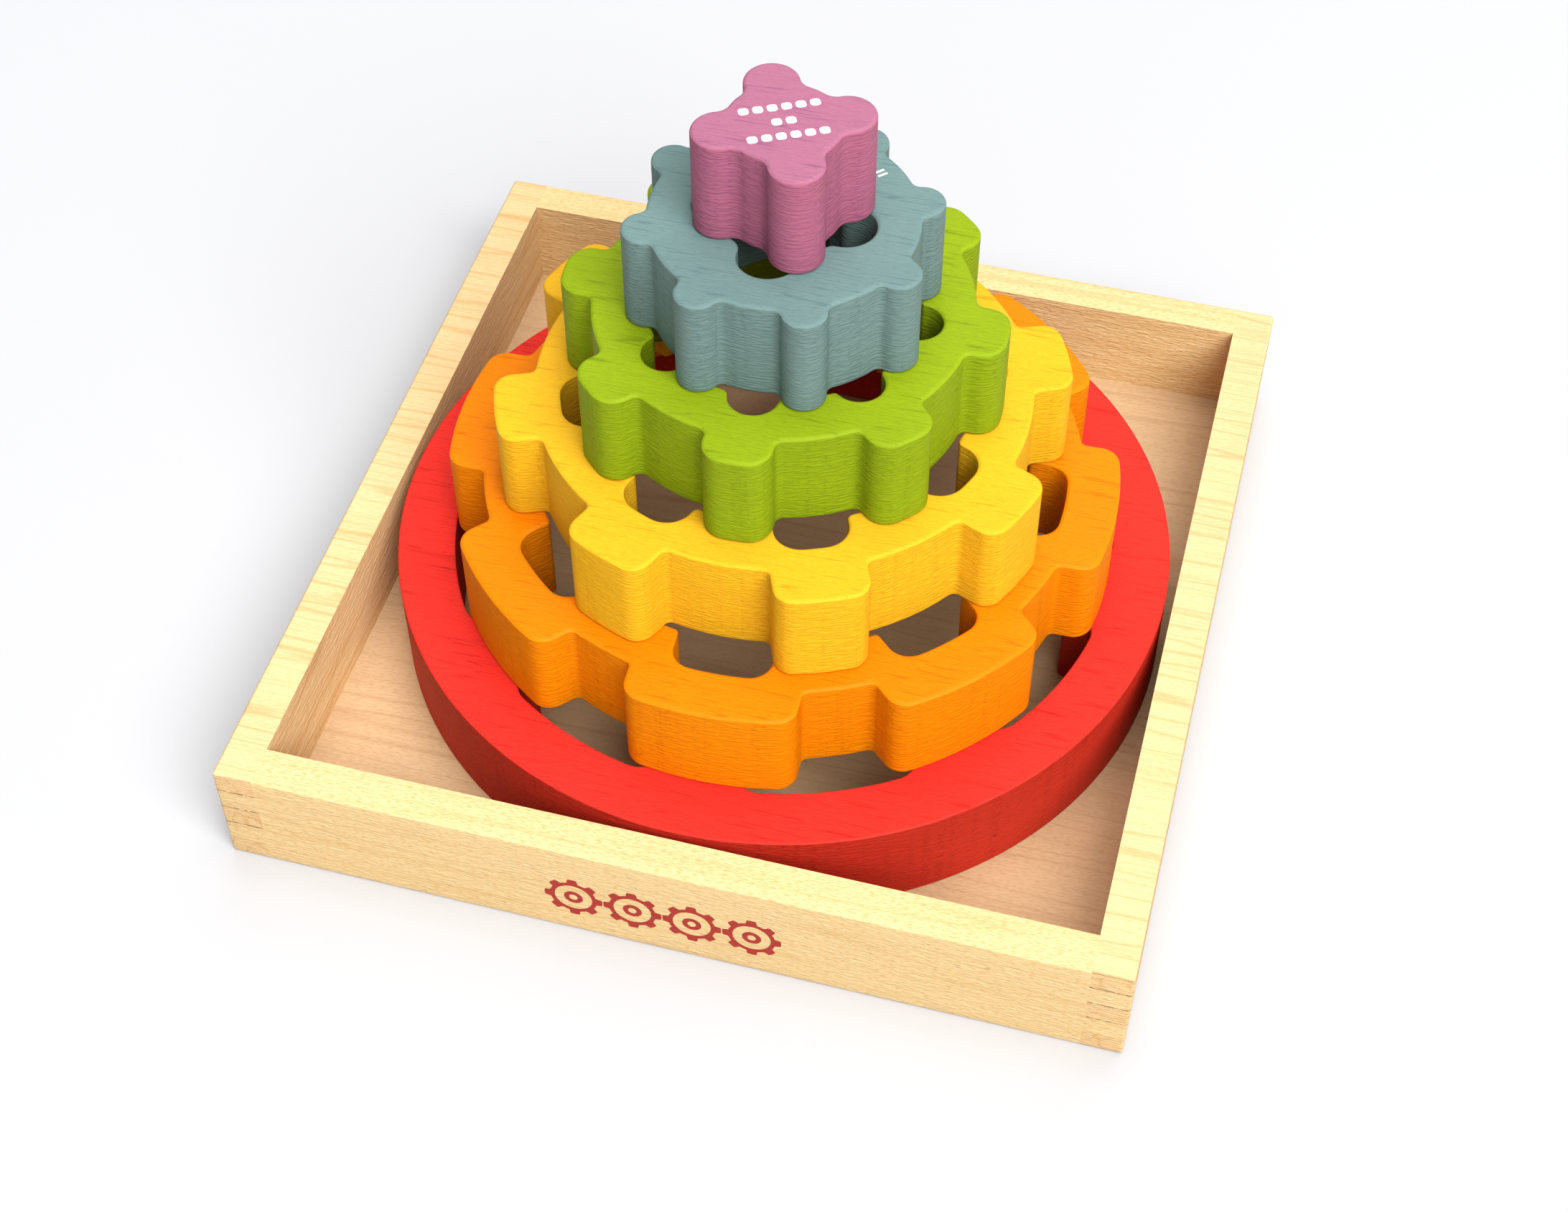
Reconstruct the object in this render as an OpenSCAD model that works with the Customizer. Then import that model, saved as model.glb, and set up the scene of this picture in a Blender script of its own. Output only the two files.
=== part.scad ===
// Stacking ring puzzle in a square wooden tray.
//
// Five rings and a solid core nest flat inside one another: the hole in each ring is the
// outline of the next smaller piece, with a little clearance. Here every piece is turned
// out of line with the ring below it, so its teeth rest on that ring's lands and the six
// pieces stand as a tower.
//
// Millimetres, +Z up, +X along the front wall. The origin is the middle of the tray's
// underside, and the axis of every ring is the Z axis.

/* [Tray] */
// Outer side of the square tray
tray_side = 210; // [206:1:220]
// Height of the tray's walls
tray_height = 30; // [28:1:36]
// Thickness of the tray's walls
wall_t = 9.5; // [8:0.5:10]
// Thickness of the base panel
base_t = 5; // [4:0.5:6]
// Depth that the base panel is let into each wall
rebate = 3; // [2:0.5:4]
// Fingers in the height of each corner joint
finger_count = 5; // [3:2:7]

/* [Nesting] */
// Thickness of every ring and of the core
piece_t = 25; // [20:1:30]
// Gap all round a piece when it lies in the hole that it fits
clearance = 0.6; // [0.4:0.1:1]
// Teeth on each toothed ring
teeth = 8; // [8]
// Lobes on the core
core_lobes = 4; // [4]

/* [Red ring] */
// Radius of the plain outside
red_outer_r = 93.5; // [90:0.5:95]
// Turn of the hole's slots from the X axis
red_turn = 22.5; // [22.5]

/* [Orange ring] */
// Radius to the tips of the teeth
orange_tip_r = 79.1; // [78:0.1:80]
// Radius between the teeth
orange_root_r = 70.7; // [70:0.1:71.5]
// Width of a tooth between its parallel sides
orange_tooth_w = 39; // [37:0.5:41]
// Radius of a tooth's two outer corners
orange_corner_r = 4.8; // [3:0.1:6]
// Radius of the fillet beside each tooth
orange_fillet_r = 1.8; // [1.2:0.1:2.4]
// Turn of the first tooth from the X axis
orange_turn = 2.3; // [0:0.1:6]

/* [Yellow ring] */
// Radius to the tips of the teeth
yellow_tip_r = 66.2; // [65.5:0.1:67]
// Radius between the teeth
yellow_root_r = 57.1; // [56.5:0.1:58]
// Width of a tooth between its parallel sides
yellow_tooth_w = 21.2; // [20:0.1:23]
// Radius of a tooth's two outer corners
yellow_corner_r = 4.6; // [3:0.1:6]
// Radius of the fillet beside each tooth
yellow_fillet_r = 1.8; // [1.2:0.1:2.4]
// Turn of the first tooth from the X axis
yellow_turn = 22.5; // [18:0.1:26]

/* [Green ring] */
// Radius to the tips of the teeth
green_tip_r = 50.4; // [49.5:0.1:51]
// Radius between the teeth
green_root_r = 42.7; // [42:0.1:43.5]
// Width of a tooth between its parallel sides
green_tooth_w = 15.4; // [14.5:0.1:16.5]
// Radius of a tooth's two outer corners
green_corner_r = 5.4; // [4:0.1:6.5]
// Radius of the fillet beside each tooth
green_fillet_r = 2; // [1.2:0.1:2.4]
// Turn of the first tooth from the X axis
green_turn = 2.4; // [0:0.1:6]

/* [Blue ring] */
// Radius to the tips of the lobes
blue_tip_r = 35.1; // [34.5:0.1:36]
// Radius between the lobes
blue_root_r = 29.6; // [29:0.1:30]
// Radius of each round lobe
blue_lobe_r = 5; // [4.6:0.1:5.4]
// Radius of the fillet beside each lobe
blue_fillet_r = 2.1; // [1.4:0.1:2.6]
// Turn of the first lobe from the X axis
blue_turn = 22.9; // [18:0.1:26]

/* [Pink core] */
// Radius to the tips of the lobes
core_tip_r = 19.7; // [19:0.1:20.5]
// Radius between the lobes
core_root_r = 12.7; // [12:0.1:13.2]
// Radius of each round lobe
core_lobe_r = 6.1; // [5.8:0.1:6.4]
// Radius of the fillet between lobes
core_fillet_r = 3.6; // [3:0.1:4]
// Turn of the first lobe from the X axis
core_turn = 25.8; // [20:0.1:30]

/* [Hidden] */
half_side = tray_side / 2;
inner_side = tray_side - 2 * wall_t;
panel_side = inner_side + 2 * rebate;
finger_h = tray_height / finger_count;
// The blue ring's hole has its slots midway between its lobes
blue_hole_turn = -180 / teeth;
// How far past a face a cut runs
cut_past = 1;
// How far a rounding circle crosses its neighbours, so that it does more than touch them
crossing = 0.002;
$fn = 96;

// A point at radius r and angle a
function polar(r, a) = [r * cos(a), r * sin(a)];

// A point turned about the origin by angle a
function turned(p, a) = [p.x * cos(a) - p.y * sin(a), p.x * sin(a) + p.y * cos(a)];

// The points of one side of a tooth and their mirror image, repeated round the circle
function all_round(side, count) = [
    for (i = [0 : count - 1])
        for (p = concat([for (q = side) [q.x, -q.y]], [for (k = [len(side) - 1 : -1 : 0]) side[k]]))
            turned(p, i * 360 / count)
];

// Two circles per tooth, mirrored about its middle line
module pairs(centre, r, count)
    for (i = [0 : count - 1], side = [-1, 1])
        rotate(i * 360 / count)
            translate([centre.x, side * centre.y])
                circle(r = r);

// Outline with straight-sided teeth, grown by clearance g. The tips are arcs about the
// axis, and the corners and root fillets are arcs that meet their neighbours smoothly.
module toothed_outline(tip_r, root_r, tooth_w, corner_r, fillet_r, g = 0) {
    tip = tip_r + g;
    root = root_r + g;
    half_w = tooth_w / 2 + g;
    corner = corner_r + g;
    fillet = fillet_r - g;
    corner_y = half_w - corner;
    corner_at = [sqrt(pow(tip - corner, 2) - pow(corner_y, 2)), corner_y];
    tip_angle = asin(corner_y / (tip - corner));
    fillet_y = half_w + fillet;
    fillet_at = [sqrt(pow(root + fillet, 2) - pow(fillet_y, 2)), fillet_y];
    side = [
        polar(root, atan2(fillet_at.y, fillet_at.x)),
        fillet_at,
        [fillet_at.x, half_w],
        [corner_at.x, half_w],
        corner_at,
        polar(2 * tip, tip_angle)
    ];
    difference() {
        union() {
            circle(r = root);
            intersection() {
                circle(r = tip);
                polygon(all_round(side, teeth));
            }
            pairs(corner_at, corner + crossing, teeth);
        }
        pairs(fillet_at, fillet + crossing, teeth);
    }
}

// Outline with round lobes, grown by clearance g. A fillet joins each lobe to the root.
module lobed_outline(tip_r, root_r, lobe_r, fillet_r, count, g = 0) {
    root = root_r + g;
    lobe = lobe_r + g;
    fillet = fillet_r - g;
    lobe_x = tip_r - lobe_r;
    to_root = root + fillet;
    to_lobe = lobe + fillet;
    fillet_x = (pow(to_root, 2) - pow(to_lobe, 2) + pow(lobe_x, 2)) / (2 * lobe_x);
    fillet_at = [fillet_x, sqrt(pow(to_root, 2) - pow(fillet_x, 2))];
    side = [
        fillet_at * root / to_root,
        fillet_at,
        [lobe_x, 0] + (fillet_at - [lobe_x, 0]) * lobe / to_lobe
    ];
    difference() {
        union() {
            circle(r = root);
            polygon(all_round(side, count));
            for (i = [0 : count - 1])
                rotate(i * 360 / count)
                    translate([lobe_x, 0])
                        circle(r = lobe);
        }
        pairs(fillet_at, fillet + crossing, count);
    }
}

module orange_outline(g = 0)
    toothed_outline(orange_tip_r, orange_root_r, orange_tooth_w, orange_corner_r, orange_fillet_r, g);

module yellow_outline(g = 0)
    toothed_outline(yellow_tip_r, yellow_root_r, yellow_tooth_w, yellow_corner_r, yellow_fillet_r, g);

module green_outline(g = 0)
    toothed_outline(green_tip_r, green_root_r, green_tooth_w, green_corner_r, green_fillet_r, g);

module blue_outline(g = 0)
    lobed_outline(blue_tip_r, blue_root_r, blue_lobe_r, blue_fillet_r, teeth, g);

module core_outline(g = 0)
    lobed_outline(core_tip_r, core_root_r, core_lobe_r, core_fillet_r, core_lobes, g);

// A piece of the stack: its flat outline is the child, level 0 lies on the base panel
module stacked(level, turn)
    translate([0, 0, base_t + level * piece_t])
        rotate(turn)
            linear_extrude(piece_t)
                children();

module base_panel()
    translate([-panel_side / 2, -panel_side / 2, 0])
        cube([panel_side, panel_side, base_t]);

// The fingers with an even or odd place in the joint, as bars across the whole tray
module finger_bars(first)
    for (i = [first : 2 : finger_count - 1])
        translate([-tray_side, -tray_side, i * finger_h])
            cube([2 * tray_side, 2 * tray_side, finger_h]);

// Right-hand wall: it runs the full depth, and its odd fingers are cut away at both ends
module side_wall()
    difference() {
        translate([half_side - wall_t, -half_side, 0])
            cube([wall_t, tray_side, tray_height]);
        intersection() {
            finger_bars(1);
            for (end = [-1, 1])
                translate([half_side - wall_t - cut_past, end * (half_side - wall_t / 2), 0])
                    translate([0, -wall_t / 2 - (end < 0 ? cut_past : 0), 0])
                        cube([wall_t + 2 * cut_past, wall_t + cut_past, tray_height]);
        }
        base_panel();
    }

// Back wall: it fits between the side walls, and its fingers fill their odd places
module end_wall()
    difference() {
        union() {
            translate([-inner_side / 2, half_side - wall_t, 0])
                cube([inner_side, wall_t, tray_height]);
            intersection() {
                finger_bars(1);
                translate([-half_side, half_side - wall_t, 0])
                    cube([tray_side, wall_t, tray_height]);
            }
        }
        base_panel();
    }

module tray_left_wall() color("burlywood") mirror([1, 0, 0]) side_wall();

module tray_right_wall() color("burlywood") side_wall();

module tray_front_wall() color("wheat") mirror([0, 1, 0]) end_wall();

module tray_back_wall() color("wheat") end_wall();

module tray_base() color("bisque") base_panel();

module red_ring()
    color("tomato")
        stacked(0, red_turn)
            difference() {
                circle(r = red_outer_r);
                orange_outline(clearance);
            }

module orange_ring()
    color("orange")
        stacked(1, orange_turn)
            difference() {
                orange_outline();
                yellow_outline(clearance);
            }

module yellow_ring()
    color("gold")
        stacked(2, yellow_turn)
            difference() {
                yellow_outline();
                green_outline(clearance);
            }

module green_ring()
    color("yellowgreen")
        stacked(3, green_turn)
            difference() {
                green_outline();
                blue_outline(clearance);
            }

module blue_ring()
    color("cadetblue")
        stacked(4, blue_turn)
            difference() {
                blue_outline();
                rotate(blue_hole_turn)
                    core_outline(clearance);
            }

module pink_core()
    color("palevioletred")
        stacked(5, core_turn)
            core_outline();

tray_left_wall();
tray_right_wall();
tray_front_wall();
tray_back_wall();
tray_base();
red_ring();
orange_ring();
yellow_ring();
green_ring();
blue_ring();
pink_core();
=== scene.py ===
# %% [markdown]
# # A stacking ring puzzle in a wooden tray
#
# The object is a toddler's puzzle. Six stained wooden pieces, each cut from a 25 mm board, nest in
# one another like Russian dolls, or stand on each other as a stepped tower. The outlines have eight
# teeth or four lobes, so a piece turned by half a tooth rests on the next one and does not drop in.
# A square wooden tray with finger joints at its corners holds the tower.
#
# This lesson builds each piece at its real size, in metres, inside the frame of a CAD model that
# already says where every piece is and how it moves.

# %% Load the frame and the helpers for its parts
import math
import bmesh
import bpy
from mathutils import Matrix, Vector


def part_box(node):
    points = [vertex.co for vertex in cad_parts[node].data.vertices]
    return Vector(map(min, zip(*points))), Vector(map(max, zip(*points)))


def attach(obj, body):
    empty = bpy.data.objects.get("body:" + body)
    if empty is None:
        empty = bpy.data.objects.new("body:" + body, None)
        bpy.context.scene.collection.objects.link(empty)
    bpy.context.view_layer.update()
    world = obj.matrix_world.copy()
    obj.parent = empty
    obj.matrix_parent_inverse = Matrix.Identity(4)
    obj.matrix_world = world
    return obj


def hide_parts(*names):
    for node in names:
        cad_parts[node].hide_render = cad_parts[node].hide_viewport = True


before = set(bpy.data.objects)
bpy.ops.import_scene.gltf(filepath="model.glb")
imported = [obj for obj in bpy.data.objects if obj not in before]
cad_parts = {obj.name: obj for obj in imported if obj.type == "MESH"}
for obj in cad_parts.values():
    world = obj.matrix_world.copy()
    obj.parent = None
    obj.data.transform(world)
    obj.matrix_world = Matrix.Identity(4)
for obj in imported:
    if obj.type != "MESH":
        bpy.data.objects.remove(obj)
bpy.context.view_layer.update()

MM = 0.001

# %% [markdown]
# ## The camera
#
# The toy is seen from in front, a little from the right and well from above, with a short
# telephoto lens. The camera is placed by two angles and a distance round the middle of the tray's
# underside, because angles are easy to read and to change. It comes first, so that every later
# step can be looked at.

# %% Place the camera
AZIMUTH = math.radians(15.0)
ELEVATION = math.radians(50.0)
CAMERA_DISTANCE = 0.6378
LENS = 58.02
FILM_WIDTH = 36.0
NEAREST_SEEN = 10.0 * MM

away = Vector((
    math.sin(AZIMUTH) * math.cos(ELEVATION),
    -math.cos(AZIMUTH) * math.cos(ELEVATION),
    math.sin(ELEVATION),
))
camera = bpy.data.objects.new("camera", bpy.data.cameras.new("camera"))
bpy.context.scene.collection.objects.link(camera)
bpy.context.scene.camera = camera
camera.data.sensor_width = FILM_WIDTH
camera.data.lens = LENS
camera.data.clip_start = NEAREST_SEEN
camera.rotation_mode = "QUATERNION"
camera.location = away * CAMERA_DISTANCE
camera.rotation_quaternion = (-away).to_track_quat("-Z", "Y")
print("camera at", [round(value, 3) for value in camera.location])

# %% [markdown]
# ## Helpers for node trees
#
# Both the shapes and the finishes below are node trees. A node's socket takes either a plain
# number or a wire from another node. One helper, `plug`, does whichever fits, and `maths` adds a
# Math node with its values already plugged in. With these, a formula reads almost as it would
# on paper, and the same helpers serve Geometry Nodes and shaders.

# %% Small helpers that add and wire nodes
def plug(tree, socket, value):
    """Wires another node's output to a socket, or sets a plain value on it."""
    if isinstance(value, bpy.types.NodeSocket):
        tree.links.new(value, socket)
    else:
        socket.default_value = value


def add(tree, kind, values=(), **settings):
    """Adds a node, makes its own settings, and plugs the values into its inputs by number or name."""
    node = tree.nodes.new(kind)
    for name, value in settings.items():
        setattr(node, name, value)
    for name, value in dict(values).items():
        plug(tree, node.inputs[name], value)
    return node


def maths(tree, operation, *values, clamp=False):
    """Adds one Math node and gives back its result."""
    node = add(tree, "ShaderNodeMath", enumerate(values), operation=operation, use_clamp=clamp)
    return node.outputs[0]


def vector_of(tree, x=0.0, y=0.0, z=0.0):
    """Joins three numbers into a vector."""
    return add(tree, "ShaderNodeCombineXYZ", {"X": x, "Y": y, "Z": z}).outputs[0]


print("node helpers are ready")

# %% [markdown]
# ## The outline of a ring, as a rule
#
# A saw-cut outline could be traced by hand, or modelled from a circle with extruded teeth. Here
# it follows a rule, so Geometry Nodes draw it. Half a tooth is four arcs: over the tip, round the
# outer corner, round the inner fillet, and along the root. The half is mirrored, and the tooth is
# repeated round the circle. A lobe is the same thing with no tip arc, where the big corner
# circle touches the fillet circle directly.
#
# Each point of the outline only knows its index. From the index the tree works out which tooth
# the point is on, how many steps it is from the tooth's middle, and so which arc it lies on. This
# puts more points on the tight corners than on the long arcs, and the arcs meet exactly.

# %% One arc, the leg of a right triangle, and a choice between two values
def other_leg(tree, longest, leg):
    """The third side of a right triangle, from its longest side and one leg."""
    squares = maths(tree, "SUBTRACT", maths(tree, "POWER", longest, 2.0), maths(tree, "POWER", leg, 2.0))
    return maths(tree, "SQRT", maths(tree, "MAXIMUM", squares, 0.0))


def choose(tree, condition, otherwise, chosen, kind):
    """A Switch node: gives `chosen` where the condition is true, and `otherwise` elsewhere."""
    values = {0: condition, 1: otherwise, 2: chosen}
    return add(tree, "GeometryNodeSwitch", values, input_type=kind).outputs[0]


def arc_point(tree, gone, steps, centre, radius, start, end):
    """The point that is `gone` of `steps` along an arc round centre, which turns from start to end."""
    share = maths(tree, "DIVIDE", gone, maths(tree, "MAXIMUM", steps, 1.0), clamp=True)
    turn = maths(tree, "MULTIPLY_ADD", maths(tree, "SUBTRACT", end, start), share, start)
    x = maths(tree, "MULTIPLY_ADD", maths(tree, "COSINE", turn), radius, centre[0])
    y = maths(tree, "MULTIPLY_ADD", maths(tree, "SINE", turn), radius, centre[1])
    return vector_of(tree, x, y)


print("arc helpers are ready")

# %% Where the arcs of half a tooth have their centres, and where they meet
def arc_plan(tree, size):
    """The centres of the corner and fillet circles, and the angles at which the arcs meet."""
    half_width = maths(tree, "MULTIPLY", size["tooth width"], 0.5)
    corner_y = maths(tree, "SUBTRACT", half_width, size["corner radius"])
    corner_reach = maths(tree, "SUBTRACT", size["tip radius"], size["corner radius"])
    corner_x = other_leg(tree, corner_reach, corner_y)

    # The fillet circle touches the root circle, and either a straight flank or the lobe itself.
    fillet_reach = maths(tree, "ADD", size["root radius"], size["fillet radius"])
    flank_y = maths(tree, "ADD", half_width, size["fillet radius"])
    flank_x = other_leg(tree, fillet_reach, flank_y)
    touching = maths(tree, "ADD", size["corner radius"], size["fillet radius"])
    squares = maths(tree, "SUBTRACT", maths(tree, "POWER", fillet_reach, 2.0),
                    maths(tree, "POWER", touching, 2.0))
    squares = maths(tree, "ADD", squares, maths(tree, "POWER", corner_x, 2.0))
    lobe_x = maths(tree, "DIVIDE", squares, maths(tree, "MULTIPLY", corner_x, 2.0))
    lobe_y = other_leg(tree, fillet_reach, lobe_x)
    straight = maths(tree, "GREATER_THAN", size["flank steps"], 0.5)
    fillet_x = choose(tree, straight, lobe_x, flank_x, "FLOAT")
    fillet_y = choose(tree, straight, lobe_y, flank_y, "FLOAT")

    lobe_end = maths(tree, "ARCTAN2", fillet_y, maths(tree, "SUBTRACT", fillet_x, corner_x))
    return {
        "corner": (corner_x, corner_y),
        "fillet": (fillet_x, fillet_y),
        "tip end": maths(tree, "ARCTAN2", corner_y, corner_x),
        "corner end": choose(tree, straight, lobe_end, math.pi / 2, "FLOAT"),
        "root start": maths(tree, "ARCTAN2", fillet_y, fillet_x),
    }


print("an arc plan has two centres and three angles")

# %% Which arc a point lies on
def half_tooth_point(tree, size, step, arc_starts):
    """The point that is `step` steps from a tooth's middle. `arc_starts` holds each arc's first step."""
    plan = arc_plan(tree, size)
    corner_first, flank_first, fillet_first, root_first = arc_starts
    middle = (0.0, 0.0)
    valley = maths(tree, "DIVIDE", math.pi, size["teeth"])
    on_tip = arc_point(tree, step, size["tip steps"], middle, size["tip radius"], 0.0, plan["tip end"])
    on_corner = arc_point(tree, maths(tree, "SUBTRACT", step, corner_first), size["corner steps"],
                          plan["corner"], size["corner radius"], plan["tip end"], plan["corner end"])
    on_fillet = arc_point(tree, maths(tree, "SUBTRACT", step, fillet_first), size["fillet steps"],
                          plan["fillet"], size["fillet radius"],
                          maths(tree, "ADD", plan["corner end"], math.pi),
                          maths(tree, "ADD", plan["root start"], math.pi))
    on_root = arc_point(tree, maths(tree, "SUBTRACT", step, root_first), size["root steps"],
                        middle, size["root radius"], plan["root start"], valley)
    place = choose(tree, maths(tree, "GREATER_THAN", step, root_first), on_fillet, on_root, "VECTOR")
    before_fillet = maths(tree, "LESS_THAN", step, maths(tree, "ADD", flank_first, 0.5))
    place = choose(tree, before_fillet, place, on_corner, "VECTOR")
    before_corner = maths(tree, "LESS_THAN", step, maths(tree, "SUBTRACT", corner_first, 0.5))
    return choose(tree, before_corner, place, on_tip, "VECTOR")


print("half a tooth has four arcs")

# %% The whole outline as nodes
def outline_curve(tree, size):
    """Adds the nodes of one closed outline. `size` holds a socket for each of its sizes."""
    corner_first = size["tip steps"]
    flank_first = maths(tree, "ADD", corner_first, size["corner steps"])
    fillet_first = maths(tree, "ADD", flank_first, size["flank steps"])
    root_first = maths(tree, "ADD", fillet_first, size["fillet steps"])
    half_steps = maths(tree, "ADD", root_first, size["root steps"])
    tooth_steps = maths(tree, "MULTIPLY", half_steps, 2.0)

    # From a point's index: its tooth, the side of that tooth, and its steps from the middle.
    index = add(tree, "GeometryNodeInputIndex").outputs[0]
    tooth = maths(tree, "ROUND", maths(tree, "DIVIDE", index, tooth_steps))
    walked = maths(tree, "SUBTRACT", index, maths(tree, "MULTIPLY", tooth, tooth_steps))
    step = maths(tree, "ABSOLUTE", walked)
    side = maths(tree, "SIGN", walked)

    place = half_tooth_point(tree, size, step, (corner_first, flank_first, fillet_first, root_first))
    mirrored = add(tree, "ShaderNodeVectorMath", {0: place, 1: vector_of(tree, 1.0, side, 1.0)},
                   operation="MULTIPLY").outputs[0]
    pitch = maths(tree, "DIVIDE", 2 * math.pi, size["teeth"])
    turn = maths(tree, "MULTIPLY_ADD", tooth, pitch, size["turn"])
    turned = add(tree, "ShaderNodeVectorRotate", {"Vector": mirrored, "Angle": turn},
                 rotation_type="Z_AXIS").outputs[0]
    points = maths(tree, "MULTIPLY", tooth_steps, size["teeth"])
    circle = add(tree, "GeometryNodeCurvePrimitiveCircle", {"Resolution": points})
    curve = add(tree, "GeometryNodeSetPosition", {"Geometry": circle.outputs[0], "Position": turned})
    return curve.outputs[0]


print("an outline takes its sizes from named sockets")

# %% [markdown]
# ## The cross-section of a ring's wall
#
# A sanded board has soft edges, and those edges are what catches the light. A Bevel modifier could
# round them, but it struggles where a tight fillet meets a wide face. So the wall is swept instead:
# an open line with two quarter circles, carried along the outline. Two extra points, a quarter of
# a millimetre past each quarter circle, keep the flat faces flat when they are shaded smooth.

# %% The rounded line that is carried along the outline
ROUND_STEPS = 5
SUPPORT = 0.25 * MM
PROFILE_POINTS = 2 * (ROUND_STEPS + 3)


def wall_profile(tree, thickness, rounding):
    """Adds the nodes of the cross-section: X goes into the wood, and -Y goes up once it is carried."""
    line = add(tree, "GeometryNodeCurvePrimitiveLine")
    points = add(tree, "GeometryNodeResampleCurve", {"Curve": line.outputs[0], "Count": PROFILE_POINTS})
    index = add(tree, "GeometryNodeInputIndex").outputs[0]
    from_top = maths(tree, "SUBTRACT", PROFILE_POINTS - 1.0, index)
    near = maths(tree, "MINIMUM", index, from_top)
    share = maths(tree, "DIVIDE", maths(tree, "SUBTRACT", near, 1.0), float(ROUND_STEPS), clamp=True)
    turn = maths(tree, "MULTIPLY", share, math.pi / 2)
    inner = maths(tree, "MAXIMUM", maths(tree, "SUBTRACT", 1.0, near), 0.0)
    outer = maths(tree, "MAXIMUM", maths(tree, "SUBTRACT", near, ROUND_STEPS + 1.0), 0.0)
    x = maths(tree, "MULTIPLY", maths(tree, "SUBTRACT", 1.0, maths(tree, "SINE", turn)), rounding)
    x = maths(tree, "MULTIPLY_ADD", inner, SUPPORT, x)
    y = maths(tree, "MULTIPLY", maths(tree, "SUBTRACT", 1.0, maths(tree, "COSINE", turn)), rounding)
    y = maths(tree, "MULTIPLY_ADD", outer, SUPPORT, y)
    is_top = maths(tree, "GREATER_THAN", index, from_top)
    height = choose(tree, is_top, y, maths(tree, "SUBTRACT", thickness, y), "FLOAT")
    place = vector_of(tree, x, maths(tree, "MULTIPLY", height, -1.0))
    placed = add(tree, "GeometryNodeSetPosition", {"Geometry": points.outputs[0], "Position": place})
    return placed.outputs[0]


print("profile points:", PROFILE_POINTS)

# %% [markdown]
# ## The ring itself
#
# The outer wall and the wall of the hole are the same sweep. The hole's outline runs the other way
# round, so that its profile also points into the wood and its faces look outwards. The flat top
# and underside are filled between the open ends of the two walls. The hole is the outline of the
# piece it holds, grown by the play between them, exactly as a toymaker would offset the saw line.

# %% The tree and its named inputs, one for each size
SIZES = (
    ("teeth", "NodeSocketInt"),
    ("tip radius", "NodeSocketFloat"),
    ("root radius", "NodeSocketFloat"),
    ("tooth width", "NodeSocketFloat"),
    ("corner radius", "NodeSocketFloat"),
    ("fillet radius", "NodeSocketFloat"),
    ("turn", "NodeSocketFloat"),
    ("tip steps", "NodeSocketInt"),
    ("corner steps", "NodeSocketInt"),
    ("flank steps", "NodeSocketInt"),
    ("fillet steps", "NodeSocketInt"),
    ("root steps", "NodeSocketInt"),
)

ring_tree = bpy.data.node_groups.new("ring sawn from a board", "GeometryNodeTree")
sockets = ring_tree.interface
for side_name in ("outer", "hole"):
    for size_name, kind in SIZES:
        sockets.new_socket(f"{side_name} {size_name}", in_out="INPUT", socket_type=kind)
for size_name in ("play", "thickness", "rounding"):
    sockets.new_socket(size_name, in_out="INPUT", socket_type="NodeSocketFloat")
sockets.new_socket("has a hole", in_out="INPUT", socket_type="NodeSocketBool")
sockets.new_socket("finish", in_out="INPUT", socket_type="NodeSocketMaterial")
sockets.new_socket("piece", in_out="OUTPUT", socket_type="NodeSocketGeometry")
print("ring tree:", len(sockets.items_tree), "sockets")

# %% The sizes of the hole, grown by the play
# A hole is wider than its piece on both sides of a tooth, and its inner fillets are tighter.
GROWTH = {
    "tip radius": 1.0,
    "root radius": 1.0,
    "tooth width": 2.0,
    "corner radius": 1.0,
    "fillet radius": -1.0,
}
given = add(ring_tree, "NodeGroupInput").outputs
outer_size = {name: given[f"outer {name}"] for name, kind in SIZES}
hole_size = {name: given[f"hole {name}"] for name, kind in SIZES}
for name, times in GROWTH.items():
    hole_size[name] = maths(ring_tree, "MULTIPLY_ADD", given["play"], times, hole_size[name])
print("sizes that grow:", ", ".join(GROWTH))

# %% The outer wall and the wall of the hole
profile = wall_profile(ring_tree, given["thickness"], given["rounding"])


def swept_wall(tree, curve):
    """Carries the profile along one outline."""
    upright = add(tree, "GeometryNodeSetCurveNormal", {"Curve": curve}, mode="Z_UP").outputs[0]
    return add(tree, "GeometryNodeCurveToMesh", {"Curve": upright, "Profile Curve": profile}).outputs[0]


outer_outline = outline_curve(ring_tree, outer_size)
hole_outline = outline_curve(ring_tree, hole_size)
backwards = add(ring_tree, "GeometryNodeReverseCurve", {"Curve": outer_outline}).outputs[0]
outer_wall = swept_wall(ring_tree, backwards)
hole_wall = swept_wall(ring_tree, hole_outline)
walls = add(ring_tree, "GeometryNodeJoinGeometry")
ring_tree.links.new(outer_wall, walls.inputs[0])
hole_node = add(ring_tree, "GeometryNodeSwitch", {0: given["has a hole"], 2: hole_wall},
                input_type="GEOMETRY")
ring_tree.links.new(hole_node.outputs[0], walls.inputs[0])
print("both walls carry the same profile")

# %% The flat faces, and the finished piece
WELD = 0.004 * MM

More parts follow.
